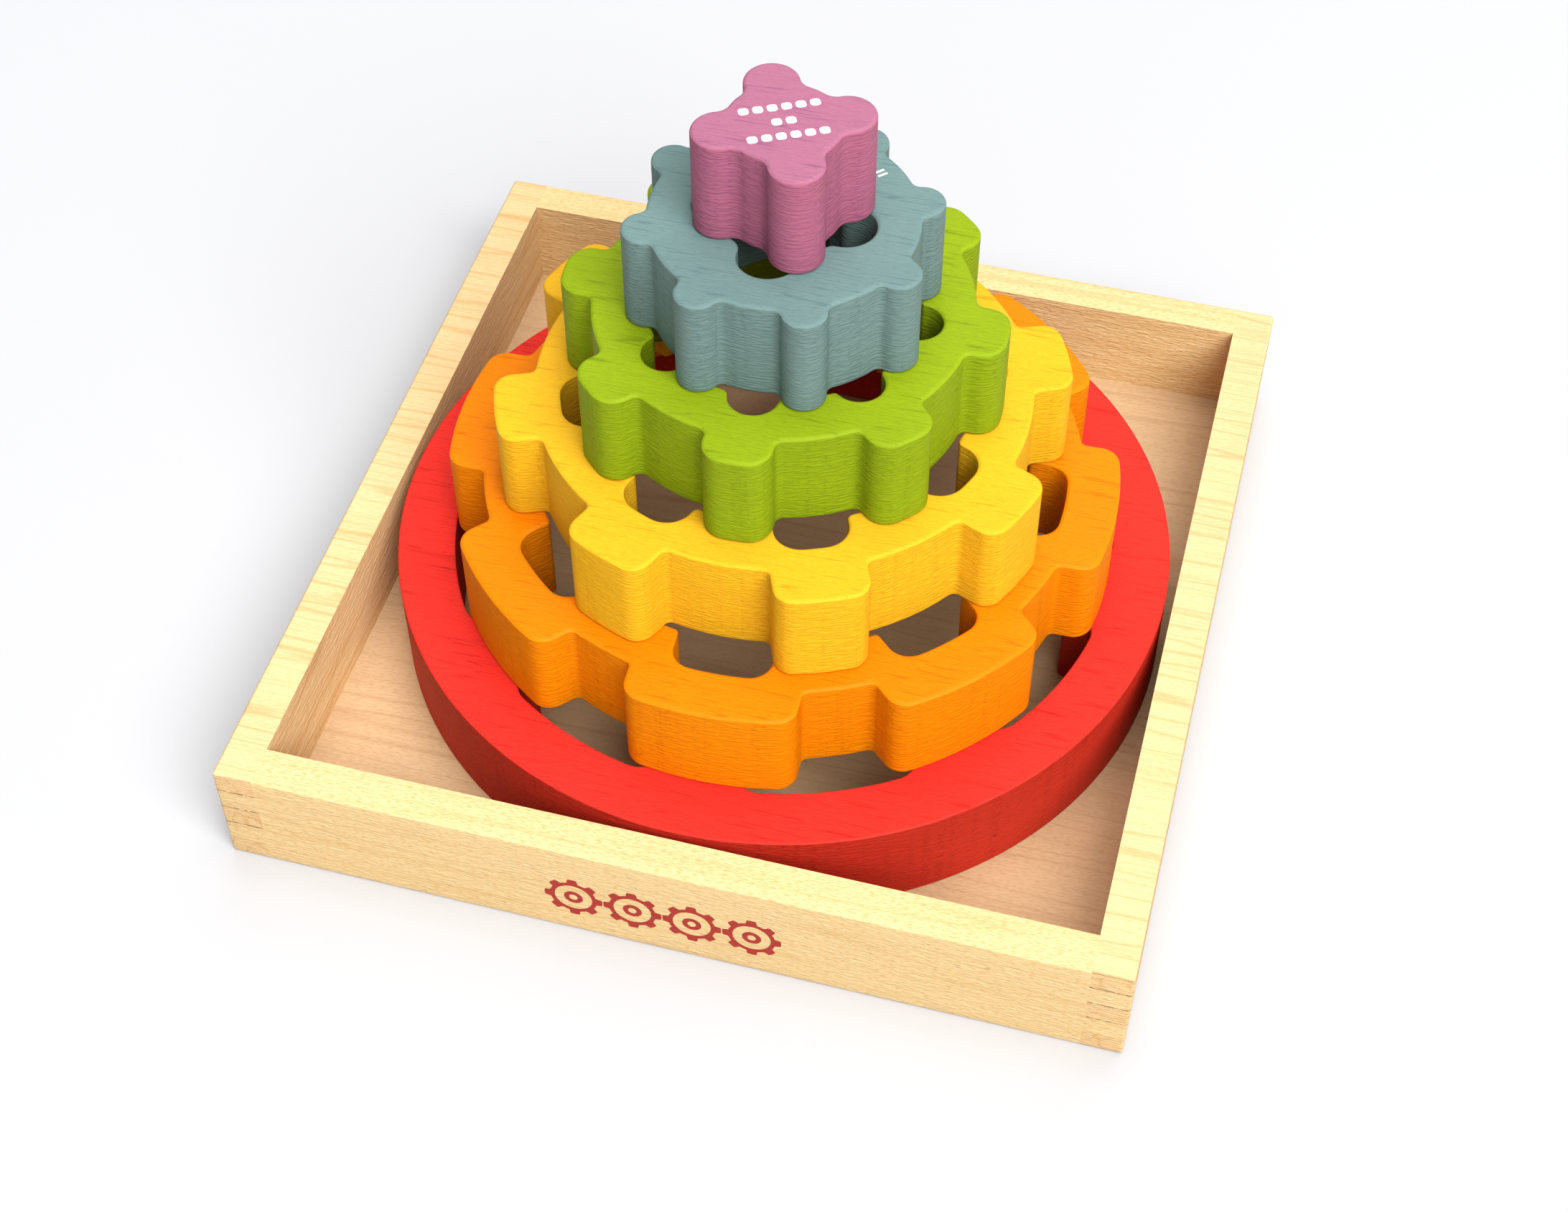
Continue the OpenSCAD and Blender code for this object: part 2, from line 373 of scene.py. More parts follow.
# The open edges at the top are the only ones with a single face, above half the thickness.
faces_beside = add(ring_tree, "GeometryNodeInputMeshEdgeNeighbors").outputs[0]
open_edge = maths(ring_tree, "LESS_THAN", faces_beside, 1.5)
position = add(ring_tree, "GeometryNodeInputPosition").outputs[0]
height = add(ring_tree, "ShaderNodeSeparateXYZ", {0: position}).outputs[2]
half_thickness = maths(ring_tree, "MULTIPLY", given["thickness"], 0.5)
upper = maths(ring_tree, "GREATER_THAN", height, half_thickness)
rim = maths(ring_tree, "MULTIPLY", open_edge, upper)
loops = add(ring_tree, "GeometryNodeMeshToCurve", {"Mesh": walls.outputs[0], "Selection": rim}).outputs[0]
flat = add(ring_tree, "GeometryNodeFillCurve", {"Curve": loops}).outputs[0]
lifted = add(ring_tree, "GeometryNodeTransform",
             {"Geometry": flat, "Translation": vector_of(ring_tree, z=given["thickness"])}).outputs[0]
underside = add(ring_tree, "GeometryNodeFlipFaces", {"Mesh": flat}).outputs[0]

closed = add(ring_tree, "GeometryNodeJoinGeometry")
for part in (walls.outputs[0], lifted, underside):
    ring_tree.links.new(part, closed.inputs[0])
welded = add(ring_tree, "GeometryNodeMergeByDistance",
             {"Geometry": closed.outputs[0], "Distance": WELD}).outputs[0]
smooth = add(ring_tree, "GeometryNodeSetShadeSmooth", {"Geometry": welded}).outputs[0]
real = add(ring_tree, "GeometryNodeRealizeInstances", {"Geometry": smooth}).outputs[0]
finished = add(ring_tree, "GeometryNodeSetMaterial",
               {"Geometry": real, "Material": given["finish"]}).outputs[0]
add(ring_tree, "NodeGroupOutput", {"piece": finished})
print("ring tree:", len(ring_tree.nodes), "nodes")

# %% [markdown]
# ## The sizes of the six pieces
#
# All lengths are in millimetres, as on a workshop drawing. The red ring is round outside, the next
# three have eight teeth, the blue ring has eight round lobes, and the core in the middle has four
# big ones. The turns are the ones that make every piece rest on the one below.

# %% Write the pieces down
def toothed(teeth, tip, root, width, corner, fillet, turn, steps):
    """The sizes of one outline under the names that the tree's inputs have."""
    lengths = {"tip radius": tip, "root radius": root, "tooth width": width,
               "corner radius": corner, "fillet radius": fillet}
    size = {name: value * MM for name, value in lengths.items()}
    size.update(zip(("tip steps", "corner steps", "flank steps", "fillet steps", "root steps"), steps))
    size.update({"teeth": teeth, "turn": math.radians(turn)})
    return size


PLAY = 0.6 * MM
OUTLINES = {
    "red_ring": toothed(8, 93.5, 93.5, 0.0, 0.0, 0.0, 22.5, (0, 0, 0, 0, 14)),
    "orange_ring": toothed(8, 79.1, 70.7, 39.0, 4.8, 1.8, 2.3, (8, 8, 1, 6, 2)),
    "yellow_ring": toothed(8, 66.2, 57.1, 21.2, 4.6, 1.8, 22.5, (4, 8, 1, 6, 5)),
    "green_ring": toothed(8, 50.4, 42.7, 15.4, 5.4, 2.0, 2.4, (2, 9, 1, 6, 5)),
    "blue_ring": toothed(8, 35.1, 29.6, 10.0, 5.0, 2.1, 22.9, (0, 12, 0, 6, 4)),
    "pink_core": toothed(4, 19.7, 12.7, 12.2, 6.1, 3.6, 25.8, (0, 16, 0, 9, 4)),
}
# A hole is sawn in line with its own ring's teeth. Only the blue ring's is turned by half a tooth.
HALF_TOOTH = math.radians(22.5)
print("outlines:", ", ".join(OUTLINES))

# %% [markdown]
# ## Building blocks for the stained and the bare wood
#
# Stained wood shows three things up close: fine grain lines that break off and start again, a
# slightly wrinkled skin where the stain has raised the fibres, and faint upright columns on the
# sawn sides. A noise texture, stretched along the grain, gives each of them. Scanned boards could
# do it too, but noise in object coordinates has no seams, never repeats, and stays sharp at any
# distance. The finest lines lie where a noise passes through its middle value.
#
# On the sawn sides the wrinkles lie flat all the way round. The same stretch in X and Y with a
# short Z gives that on every side face, whichever way it looks.

# %% Colours, noise, bands and mixes
def paint(red, green, blue):
    """A colour from a 0-255 paint chart, as the linear values that shaders need."""
    chart = [value / 255 for value in (red, green, blue)]
    return tuple(v / 12.92 if v <= 0.04045 else ((v + 0.055) / 1.055) ** 2.4 for v in chart) + (1.0,)


def noise(tree, place, stretch, detail=2.0, start=(0.0, 0.0, 0.0), wobble=0.0):
    """A noise with so many waves per metre along each axis."""
    stretched = add(tree, "ShaderNodeMapping", {"Vector": place, "Scale": stretch, "Location": start})
    values = {"Vector": stretched.outputs[0], "Scale": 1.0, "Detail": detail, "Distortion": wobble}
    return add(tree, "ShaderNodeTexNoise", values).outputs[0]


def band(tree, value, low, high, bottom=0.0, top=1.0):
    """A soft step: bottom below `low`, top above `high`."""
    values = {"Value": value, "From Min": low, "From Max": high, "To Min": bottom, "To Max": top}
    return add(tree, "ShaderNodeMapRange", values, interpolation_type="SMOOTHSTEP").outputs[0]


def mix(tree, share, first, second):
    """Mixes two colours."""
    return add(tree, "ShaderNodeMix", {0: share, 6: first, 7: second}, data_type="RGBA").outputs[2]


print("a chart white is", [round(value, 3) for value in paint(255, 255, 255)])

# %% Shares, creases, relief and a blank finish
def share_of(tree, amount, *masks):
    """A share that is `amount` where all the masks are 1."""
    for mask in masks:
        amount = maths(tree, "MULTIPLY", amount, mask)
    return amount


def creases(tree, skin, width):
    """Thin lines where a noise passes through its middle value. A stretched noise gives long fine lines."""
    off_middle = maths(tree, "ABSOLUTE", maths(tree, "SUBTRACT", skin, 0.5))
    return band(tree, off_middle, 0.0, width, 1.0, 0.0)


def bump(tree, height, distance):
    """Turns a height into relief: a height of 1 stands out by so much distance."""
    node = add(tree, "ShaderNodeBump", {"Height": height, "Distance": distance, "Strength": 1.0})
    return node.outputs[0]


def blank_finish(name):
    """A new material: its tree, its shader, and the object's coordinates and normal."""
    finish = bpy.data.materials.new(name)
    finish.use_nodes = True
    tree = finish.node_tree
    tree.nodes.clear()
    shader = add(tree, "ShaderNodeBsdfPrincipled")
    add(tree, "ShaderNodeOutputMaterial", {"Surface": shader.outputs[0]})
    where = add(tree, "ShaderNodeTexCoord")
    return finish, tree, shader, where.outputs["Object"], where.outputs["Normal"]


print("building blocks for wood are ready")

# %% [markdown]
# ## Printed marks
#
# The pieces of such toys are printed with a small white pattern, and the tray with an ornament. A
# print has no thickness, so it is a mask in the material and not a mesh. Each mask asks how far a
# point is from the nearest mark: the position is folded into one cell with a rounding node, and a
# rounded box or a little cog is drawn there. The white marks are rows of short dashes, and the
# ornament is a row of four small cogs.

# %% Cells and distances
def nearest(tree, value, pitch, shift=0.0):
    """Folds a coordinate into cells: gives the cell's number and the place within it."""
    number = maths(tree, "ROUND", maths(tree, "MULTIPLY_ADD", value, 1.0 / pitch, shift))
    centre = maths(tree, "MULTIPLY", maths(tree, "SUBTRACT", number, shift), pitch)
    return number, maths(tree, "SUBTRACT", value, centre)


def length_of(tree, x, y):
    """The length of a flat vector."""
    squares = maths(tree, "ADD", maths(tree, "POWER", x, 2.0), maths(tree, "POWER", y, 2.0))
    return maths(tree, "SQRT", squares)


def beyond(tree, value, reach):
    """How far a value is outside the range from -reach to reach."""
    return maths(tree, "MAXIMUM", maths(tree, "SUBTRACT", maths(tree, "ABSOLUTE", value), reach), 0.0)


print("folding helpers are ready")

# %% Rows of rounded dashes
ROW_PITCH = 4.6 * MM
INK_BLUR = 0.08 * MM
# The middle row has two dashes. A row beside it has this many more at each end.
LONGER_BY = 2


def dash_rows(tree, place, up, centre, tilt, rows, mark):
    """White dashes on an upper face: a short middle row alone, or with a longer row on either side of it.

    `rows` is 1 for the middle row alone, and 2 for all three. A mark is the pitch of the dashes, half
    the width and half the height of their straight parts, and the radius of their round corners.
    """
    pitch, half_width, half_height, radius = mark
    local = add(tree, "ShaderNodeMapping", {"Vector": place, "Location": [-value for value in centre]})
    local = add(tree, "ShaderNodeVectorRotate", {"Vector": local.outputs[0], "Angle": -tilt},
                rotation_type="Z_AXIS")
    across, along, _ = add(tree, "ShaderNodeSeparateXYZ", {0: local.outputs[0]}).outputs
    row, in_row = nearest(tree, along, ROW_PITCH)
    _, in_dash = nearest(tree, across, pitch, 0.5)
    off = length_of(tree, beyond(tree, in_dash, half_width), beyond(tree, in_row, half_height))
    shape = band(tree, off, radius, radius + INK_BLUR, 1.0, 0.0)
    row = maths(tree, "ABSOLUTE", row)
    reach = maths(tree, "MULTIPLY_ADD", row, LONGER_BY * pitch, pitch)
    shown = maths(tree, "LESS_THAN", maths(tree, "ABSOLUTE", across), reach)
    shown = maths(tree, "MULTIPLY", shown, maths(tree, "LESS_THAN", row, rows - 0.5))
    shown = maths(tree, "MULTIPLY", shown, maths(tree, "GREATER_THAN", up, 0.9))
    return maths(tree, "MULTIPLY", shape, shown)


print("dash rows are", ROW_PITCH / MM, "mm apart")

# %% A row of little cogs
COG_PITCH = 13.8 * MM
CHAIN_HALF = 2 * COG_PITCH
COG_TEETH = 8.0
COG_ROOT = 5.5 * MM
COG_TIP = 6.8 * MM
COG_EDGE = 0.1 * MM
RIM_GAP = 3.3 * MM
GAP_HALF = 1.0 * MM
COG_BORE = 0.9 * MM
INNER_BLUR = 0.15 * MM


def cog_chain(tree, place, face_y, centre_z):
    """Four cogs in a row, on the face of the tray that looks forward."""
    x, y, z = add(tree, "ShaderNodeSeparateXYZ", {0: place}).outputs
    rise = maths(tree, "SUBTRACT", z, centre_z)
    _, in_cog = nearest(tree, x, COG_PITCH, 0.5)
    reach = length_of(tree, in_cog, rise)
    spin = maths(tree, "MULTIPLY", maths(tree, "ARCTAN2", rise, in_cog), COG_TEETH)
    rim = band(tree, maths(tree, "COSINE", spin), -0.5, 0.5, COG_ROOT, COG_TIP)
    inside = band(tree, maths(tree, "SUBTRACT", reach, rim), -COG_EDGE, COG_EDGE, 1.0, 0.0)
    off_gap = maths(tree, "ABSOLUTE", maths(tree, "SUBTRACT", reach, RIM_GAP))
    web = band(tree, off_gap, GAP_HALF, GAP_HALF + INNER_BLUR)
    bore = band(tree, reach, COG_BORE, COG_BORE + INNER_BLUR)
    drawn = maths(tree, "MULTIPLY", inside, maths(tree, "MULTIPLY", web, bore))
    shown = maths(tree, "LESS_THAN", maths(tree, "ABSOLUTE", x), CHAIN_HALF)
    shown = maths(tree, "MULTIPLY", shown, maths(tree, "LESS_THAN", y, face_y))
    return maths(tree, "MULTIPLY", drawn, shown)


print("the cogs' row is", round(2 * CHAIN_HALF / MM, 1), "mm long")

# %% [markdown]
# ## The stain on the six pieces
#
# Each piece has one bright stain. The wood shows through it: the grain lines are a little darker,
# and the sawn sides have a colour of their own, which on the red ring is darker than its top as a
# painted shade of the gap by the tray walls. The rounded edges are painted paler, a painted
# highlight where they catch the light. The rounded edge is found from the normal alone, because
# only there it points neither up nor sideways.

# %% A stained finish from its colours
STAIN_RELIEF = 0.30 * MM
SHEEN = 0.07
PRINT_WHITE = paint(236, 230, 232)


def stained_wood(name, top, side, dark, start, wrinkle=1.0, edge_highlight=0.15, dashes=None):
    """Stain in three colours: on flat faces, on sawn sides, and in the grain.

    `wrinkle` is the strength of the skin on the sides, `edge_highlight` how strongly the rounded
    edges are painted paler as a painted highlight, and `dashes` places a print.
    """
    finish, tree, shader, place, normal = blank_finish(name)
    up = add(tree, "ShaderNodeSeparateXYZ", {0: normal}).outputs[2]
    level = maths(tree, "ABSOLUTE", up)
    on_side = band(tree, level, 0.35, 0.8, 1.0, 0.0)
    edge = maths(tree, "MULTIPLY", maths(tree, "SUBTRACT", 1.0, level), maths(tree, "MULTIPLY", level, 4.0))

    lines = creases(tree, noise(tree, place, (26, 620, 620), 1.0, start), 0.04)
    broken = band(tree, noise(tree, place, (90, 400, 400), 1.0, start), 0.44, 0.60)
    top_skin = noise(tree, place, (300, 2000, 2000), 1.0, start, 0.3)
    side_skin = noise(tree, place, (300, 300, 2300), 1.0, start, 0.4)
    side_creases = creases(tree, side_skin, 0.06)
    columns = band(tree, noise(tree, place, (650, 650, 14), 1.0, start), 0.50, 0.66)
    clouds = band(tree, noise(tree, place, (18, 45, 45), 2.0, start), 0.40, 0.75)

    # Sawn sides take the side colour. Where it is darker than the top, as on the red ring, that is painted
    # shade.
    colour = mix(tree, on_side, top, side)
    off_side = maths(tree, "SUBTRACT", 1.0, on_side)
    cuts = maths(tree, "MULTIPLY_ADD", columns, 0.35, 0.25)
    colour = mix(tree, share_of(tree, 0.45, lines, broken, off_side), colour, dark)
    colour = mix(tree, share_of(tree, 0.2, creases(tree, top_skin, 0.06), off_side), colour, dark)
    colour = mix(tree, share_of(tree, wrinkle, cuts, side_creases, on_side), colour, dark)
    colour = mix(tree, share_of(tree, 0.10, clouds), colour, dark)
    # Painted highlight: the rounded edges are mixed towards a paler tint of the top colour.
    highlight_share = share_of(tree, edge_highlight, band(tree, edge, 0.4, 1.0))
    pale = tuple(min(1.0, value * 1.25 + 0.01) for value in top[:3]) + (1.0,)
    colour = mix(tree, highlight_share, colour, pale)
    if dashes:
        colour = mix(tree, dash_rows(tree, place, up, *dashes), colour, PRINT_WHITE)
    plug(tree, shader.inputs["Base Color"], colour)

    relief = share_of(tree, wrinkle, side_skin, on_side)
    soft = maths(tree, "ADD", relief, share_of(tree, 0.3, top_skin, off_side))
    plug(tree, shader.inputs["Normal"], bump(tree, soft, STAIN_RELIEF))
    plug(tree, shader.inputs["Roughness"], maths(tree, "MULTIPLY_ADD", soft, 0.15, 0.47))
    shader.inputs["Specular IOR Level"].default_value = SHEEN
    return finish


print("relief of the skin:", STAIN_RELIEF / MM, "mm")

# %% The print and the stain of each piece
CORE_DASHES = ((0.0, 0.0, 0.0), math.radians(27), 2, (3.05 * MM, 0.35 * MM, 0.35 * MM, 0.7 * MM))
BLUE_DASHES = ((16.9 * MM, 18.2 * MM, 0.0), math.radians(-45), 1, (1.3 * MM, 0.0, 0.9 * MM, 0.25 * MM))
STAINS = {
    # The red ring's side colour is darker than its top: painted shade of the narrow gap between the ring
    # and the tray walls.
    "red_ring": stained_wood(
        "red stain", paint(215, 44, 35), paint(180, 44, 29), paint(108, 12, 6), (3, 1, 2),
        wrinkle=0.9, edge_highlight=0.1),
    "orange_ring": stained_wood(
        "orange stain", paint(219, 119, 2), paint(214, 123, 2), paint(165, 74, 1), (9, 5, 1)),
    "yellow_ring": stained_wood(
        "yellow stain", paint(217, 165, 31), paint(218, 168, 30), paint(178, 111, 9), (2, 8, 4)),
    "green_ring": stained_wood(
        "green stain", paint(130, 151, 18), paint(128, 150, 18), paint(82, 99, 9), (6, 2, 7)),
    "blue_ring": stained_wood(
        "blue stain", paint(102, 127, 124), paint(104, 126, 122), paint(62, 85, 90), (5, 7, 3),
        dashes=BLUE_DASHES),
    "pink_core": stained_wood(
        "pink stain", paint(158, 98, 121), paint(158, 90, 112), paint(108, 58, 96), (1, 4, 9),
        dashes=CORE_DASHES),
}
print("stains:", ", ".join(finish.name for finish in STAINS.values()))

# %% [markdown]
# ## Sawing the six pieces
#
# A modifier with the ring tree is put on an empty mesh and given its sizes. The inputs of a
# Geometry Nodes modifier are stored under the identifiers of the tree's sockets, not under their
# names, so a small helper looks each one up. The result is taken as a plain mesh, lifted to its
# level in the stack, and stands in for the CAD solid of the same name.

# %% Give sizes to a modifier
def give_sizes(modifier, sizes):
    """Sets a modifier's inputs from a dictionary of the tree's input names."""
    for item in modifier.node_group.interface.items_tree:
        if item.in_out == "INPUT" and item.name in sizes:
            modifier[item.identifier] = sizes[item.name]


def piece_sizes(name, hole_name, thickness, rounding):
    """All the tree's inputs for one piece. Its hole has the outline of the piece called `hole_name`."""
    outline = OUTLINES[name]
    hole = dict(OUTLINES[hole_name or name], turn=outline["turn"])
    if name == "blue_ring":
        hole["turn"] -= HALF_TOOTH
    sizes = {f"outer {size}": value for size, value in outline.items()}
    sizes.update({f"hole {size}": value for size, value in hole.items()})
    sizes.update({"play": PLAY, "thickness": thickness, "rounding": rounding,
                  "has a hole": hole_name is not None, "finish": STAINS[name]})
    return sizes


print("play round each piece:", PLAY / MM, "mm")

# %% Saw one piece and put it at its level
def saw_piece(name, hole_name, rounding):
    """Makes one piece of the puzzle, riding on the body of its name."""
    blank = bpy.data.objects.new("blank", bpy.data.meshes.new("blank"))
    bpy.context.scene.collection.objects.link(blank)
    modifier = blank.modifiers.new("saw", "NODES")
    modifier.node_group = ring_tree
    low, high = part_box(name)
    give_sizes(modifier, piece_sizes(name, hole_name, high.z - low.z, rounding))
    evaluated = blank.evaluated_get(bpy.context.evaluated_depsgraph_get())
    mesh = bpy.data.meshes.new_from_object(evaluated)
    bpy.data.objects.remove(blank)
    for vertex in mesh.vertices:
        vertex.co.z += low.z
    mesh.name = f"{name}_shape"
    piece = bpy.data.objects.new(f"{name}_wood", mesh)
    bpy.context.scene.collection.objects.link(piece)
    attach(piece, name)
    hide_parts(name)
    print(f"{name}: {len(mesh.polygons)} faces, z {low.z / MM:.0f} to {high.z / MM:.0f} mm")


print("the saw is set up")

# %% Saw them from the outside in
NESTED = list(OUTLINES)
ROUNDING = {name: 0.85 * MM for name in NESTED}
ROUNDING["red_ring"] = 0.5 * MM
for name, hole_name in zip(NESTED, NESTED[1:] + [None]):
    saw_piece(name, hole_name, ROUNDING[name])

# %% [markdown]
# ## The bare wood of the tray
#
# The tray is clear-lacquered pale wood. Without stain, the grain shows as long lines, broad bands
# and, on the front and back walls, many short flecks. The fingers of the corner joints are only as
# visible as on a real box: their ends show end grain, as fine dense lines, and a thin broken line
# of dark glue runs between them. On the upright faces of the side walls the grain runs along the
# wall, so there the pattern is turned from X to Y.

# %% The tray's sizes, and the glue between its fingers
wall_low, wall_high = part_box("tray_left_wall")
HALF_SIDE = wall_high.y
TRAY_HEIGHT = wall_high.z
WALL = wall_high.x - wall_low.x
FINGER = TRAY_HEIGHT / 5
MIDDLE_STEP = 3.0
STEPS_EITHER_SIDE = 1.2


def glue_line(tree, place, on_side):
    """A thin broken dark line in the tray's corners, at the three upper steps of the fingers."""
    x, y, z = add(tree, "ShaderNodeSeparateXYZ", {0: place}).outputs
    nearer = maths(tree, "MINIMUM", maths(tree, "ABSOLUTE", x), maths(tree, "ABSOLUTE", y))
    in_corner = maths(tree, "GREATER_THAN", nearer, HALF_SIDE - WALL)
    step, off_step = nearest(tree, z, FINGER)
    thin = band(tree, maths(tree, "ABSOLUTE", off_step), 0.1 * MM, 0.25 * MM, 1.0, 0.0)
    steps = maths(tree, "COMPARE", step, MIDDLE_STEP, STEPS_EITHER_SIDE)
    broken = band(tree, noise(tree, place, (900, 900, 90), 1.0), 0.40, 0.50)
    return share_of(tree, 0.85, thin, steps, in_corner, on_side, broken)


print("walls are", round(WALL / MM, 2), "mm thick, and fingers", round(FINGER / MM, 2), "mm high")

# %% Grain that follows a side wall, and end grain
END_GRAIN = 0.85 * MM


def along_wall(tree, place, on_side):
    """Turns the grain from X to Y on upright faces."""
    x, y, z = add(tree, "ShaderNodeSeparateXYZ", {0: place}).outputs
    turned = vector_of(tree, y, x, z)
    return add(tree, "ShaderNodeMix", {0: on_side, 4: place, 5: turned}, data_type="VECTOR").outputs[1]


def end_lines(tree, place, start):
    """Level lines of end grain, which wander a little."""
    height = add(tree, "ShaderNodeSeparateXYZ", {0: place}).outputs[2]
    drift = maths(tree, "MULTIPLY", noise(tree, place, (60, 60, 200), 1.0, start), 9.0)
    waves = maths(tree, "SINE", maths(tree, "MULTIPLY_ADD", height, 2 * math.pi / END_GRAIN, drift))
    return band(tree, waves, 0.1, 1.0)


print("lines of end grain are", END_GRAIN / MM, "mm apart")

# %% The wood of the tray
BARE_RELIEF = 0.34 * MM
FRONT_FACE = 0.5 * MM - HALF_SIDE
ORNAMENT_HEIGHT = 13.0 * MM
GLUE = paint(92, 58, 34)
ORNAMENT_RED = paint(158, 52, 44)


def tray_wood(name, plain, dark, start, fleck, figure, end_axis=None):
    """Clear-lacquered wood with so much fleck and figure.

    `end_axis` is the axis, 0 or 1, that a wall's cut ends look along.
    """
    finish, tree, shader, place, normal = blank_finish(name)
    facing = add(tree, "ShaderNodeSeparateXYZ", {0: normal}).outputs
    on_side = band(tree, maths(tree, "ABSOLUTE", facing[2]), 0.35, 0.8, 1.0, 0.0)
    off_side = maths(tree, "SUBTRACT", 1.0, on_side)
    if end_axis == 1:
        place = along_wall(tree, place, on_side)
    flecks = band(tree, noise(tree, place, (620, 4000, 4000), 0.5, start), 0.54, 0.68)
    lines = creases(tree, noise(tree, place, (7, 140, 140), 1.0, start), 0.035)
    dense = creases(tree, noise(tree, place, (14, 700, 700), 1.0, start), 0.06)
    side_skin = noise(tree, place, (330, 330, 2300), 1.0, start, 0.5)
    bands = band(tree, noise(tree, place, (2.5, 90, 90), 2.0, start), 0.45, 0.75)
    side_creases = creases(tree, side_skin, 0.06)

    colour = mix(tree, share_of(tree, 0.22 * figure, dense), plain, dark)
    colour = mix(tree, share_of(tree, fleck, flecks), colour, dark)
    colour = mix(tree, share_of(tree, 0.12 * figure, bands), colour, dark)
    colour = mix(tree, share_of(tree, 0.40 * figure, lines), colour, dark)
    colour = mix(tree, share_of(tree, 0.26, side_creases, on_side), colour, dark)
    if end_axis is not None:
        at_end = maths(tree, "GREATER_THAN", maths(tree, "ABSOLUTE", facing[end_axis]), 0.6)
        colour = mix(tree, share_of(tree, 0.45, end_lines(tree, place, start), at_end), colour, dark)
        colour = mix(tree, glue_line(tree, place, on_side), colour, GLUE)
    if end_axis == 0:
        ornament = cog_chain(tree, place, FRONT_FACE, ORNAMENT_HEIGHT)
        colour = mix(tree, ornament, colour, ORNAMENT_RED)
    plug(tree, shader.inputs["Base Color"], colour)

    relief = maths(tree, "MULTIPLY", side_skin, on_side)
    soft = maths(tree, "ADD", relief, share_of(tree, -0.12, flecks, off_side))
    plug(tree, shader.inputs["Normal"], bump(tree, soft, BARE_RELIEF))
    plug(tree, shader.inputs["Roughness"], maths(tree, "MULTIPLY_ADD", soft, 0.15, 0.48))
    shader.inputs["Specular IOR Level"].default_value = SHEEN
    return finish


print("relief of the bare wood:", BARE_RELIEF / MM, "mm")

# %% The three kinds of wood in the tray
SIDE_WALL_WOOD = tray_wood(
    "side wall wood", paint(218, 186, 137), paint(186, 137, 78), (4, 4, 1), 0.08, 1.0, end_axis=1)
END_WALL_WOOD = tray_wood(
    "end wall wood", paint(216, 188, 137), paint(190, 136, 72), (8, 3, 5), 0.42, 0.5, end_axis=0)
PANEL_WOOD = tray_wood(
    "panel wood", paint(192, 160, 122), paint(150, 110, 72), (2, 6, 8), 0.2, 0.6)
print("tray finishes:", ", ".join(wood.name for wood in (SIDE_WALL_WOOD, END_WALL_WOOD, PANEL_WOOD)))

# %% [markdown]
# ## The tray
#
# The CAD walls already have the right shape, with their fingers. What they lack is the softened
# outer edge that a real tray has. Each wall is a copy of its CAD solid: its loose triangles are
# merged, the flat faces are joined into one, and a Bevel modifier rounds the edges that carry a
# bevel weight. Only the tray's outer edges have one. The fingers stay sharp, because a real box is
# sanded flush after it is glued.

# %% Find the tray's outer edges
EDGE_ROUND = 0.8 * MM
ON_PLANE = 0.01 * MM


def outer_planes(corner):
    """The outside planes of the tray that a corner lies on, each as an axis and a side."""
    planes = {(axis, corner[axis] > 0) for axis in (0, 1) if abs(abs(corner[axis]) - HALF_SIDE) < ON_PLANE}
    if corner.z < ON_PLANE or abs(corner.z - TRAY_HEIGHT) < ON_PLANE:
        planes.add((2, corner.z > ON_PLANE))
    return planes


def edge_weight(edge):
    """Full weight for an edge where two outside planes of the tray meet, and none elsewhere."""
    shared = outer_planes(edge.verts[0].co) & outer_planes(edge.verts[1].co)
    return 1.0 if len(shared) > 1 else 0.0


print("outer edges are rounded by", EDGE_ROUND / MM, "mm")

# %% Copy a CAD part, clean it and round its outer edges
def soften(node, finish):
    """A copy of a CAD part with soft edges, riding on the tray in its place."""
    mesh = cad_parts[node].data.copy()
    shape = bmesh.new()
    shape.from_mesh(mesh)
    bmesh.ops.remove_doubles(shape, verts=shape.verts, dist=0.001 * MM)
    bmesh.ops.dissolve_limit(shape, angle_limit=math.radians(1), verts=shape.verts, edges=shape.edges)
    weights = shape.edges.layers.float.new("bevel_weight_edge")
    for edge in shape.edges:
        edge[weights] = edge_weight(edge)
        edge.smooth = edge[weights] > 0.0
    for flat_face in shape.faces:
        flat_face.smooth = True
    shape.to_mesh(mesh)
    faces = len(shape.faces)
    shape.free()
    mesh.materials.clear()
    mesh.materials.append(finish)
    mesh.name = f"{node}_shape"
    piece = bpy.data.objects.new(f"{node}_wood", mesh)
    bpy.context.scene.collection.objects.link(piece)
    bevel = piece.modifiers.new("soft edges", "BEVEL")
    bevel.limit_method = "WEIGHT"
    bevel.width = EDGE_ROUND
    bevel.segments = 4
    bevel.harden_normals = True
    bevel.use_clamp_overlap = False
    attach(piece, "tray")
    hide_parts(node)
    print(f"{node}: {faces} flat faces before rounding")


print("ready to soften the tray")

# %% The four walls and the base panel
for side in ("left", "right"):
    soften(f"tray_{side}_wall", SIDE_WALL_WOOD)
for side in ("front", "back"):
    soften(f"tray_{side}_wall", END_WALL_WOOD)
soften("tray_base", PANEL_WOOD)

# %% [markdown]
# ## Floor and light
#
# The toy stands on a plain white floor. A large soft lamp stands high at the front right. Three
# weaker ones fill from above, from behind and from low in front. The sky gives only a dim white
# light, but it looks bright beyond the edge of the floor. The floor is a stage, so it is not exported.

# %% Floor
FLOOR_REACH = 4.0
FLOOR_DROP = 0.02 * MM

